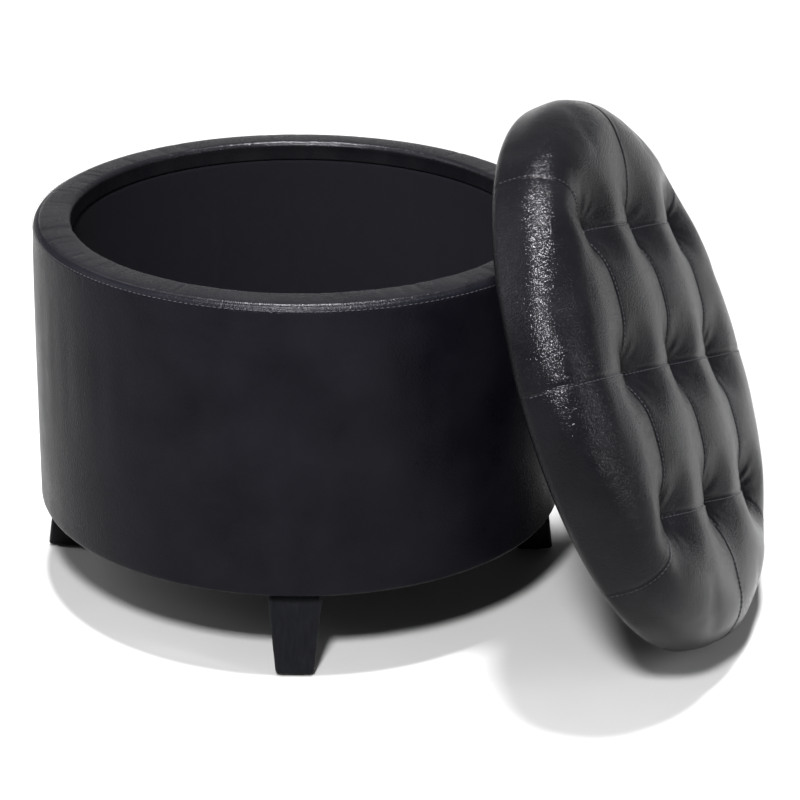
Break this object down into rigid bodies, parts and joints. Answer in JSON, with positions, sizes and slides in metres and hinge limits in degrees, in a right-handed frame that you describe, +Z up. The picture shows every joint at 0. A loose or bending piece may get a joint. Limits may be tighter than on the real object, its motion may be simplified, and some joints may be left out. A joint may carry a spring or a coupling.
{
  "type": "storage_ottoman",
  "caption": "Round storage ottoman in black faux leather on tapered wooden legs, its deep-tufted lid lifted off and leaning against the rim",
  "frame": {"origin": "on the floor under the centre of the tub, where the tub's own axis meets it", "axes": "+Z up along the tub's axis; -Y towards the front leg and +X towards the right leg, which is the side the lid leans on"},
  "size_m": [0.7839, 0.6788, 0.5411],
  "materials": {
    "wall_leather": "satin",
    "lid_leather": "gloss",
    "lining_fabric": "matte",
    "dust_fabric": "matte",
    "foam": "matte",
    "leg_wood": "satin",
    "plywood": "matte",
    "hardboard": "matte",
    "steel": "satin",
    "glide_plastic": "matte",
    "tie_cord": "matte"
  },
  "bodies": {
    "base": {"base_board": "plywood", "bottom_hoop": "plywood", "top_hoop": "plywood", "wall_studs": "plywood", "inner_skin": "hardboard", "outer_skin": "hardboard", "wall_foam": "foam", "wall_cover": "wall_leather", "rim_padding": "foam", "rim_cover": "wall_leather", "wall_lining": "lining_fabric", "floor_lining": "lining_fabric", "dust_cover": "dust_fabric", "leg_front": "leg_wood", "leg_right": "leg_wood", "leg_back": "leg_wood", "leg_left": "leg_wood", "leg_plates": "steel", "hanger_bolts": "steel", "plate_screws": "steel", "foot_glides": "glide_plastic"},
    "lid": {"lid_board": "plywood", "lid_foam": "foam", "lid_cover": "lid_leather", "lid_lining": "lining_fabric", "tuft_ties": "tie_cord", "tuft_anchors": "steel", "locating_blocks": "plywood", "block_screws": "steel"}
  },
  "joints": [
    {"name": "lid_lift", "type": "slide", "parent": "base", "child": "lid", "axis": [0, 0, 1], "range_m": [0, 0.45]}
  ]
}
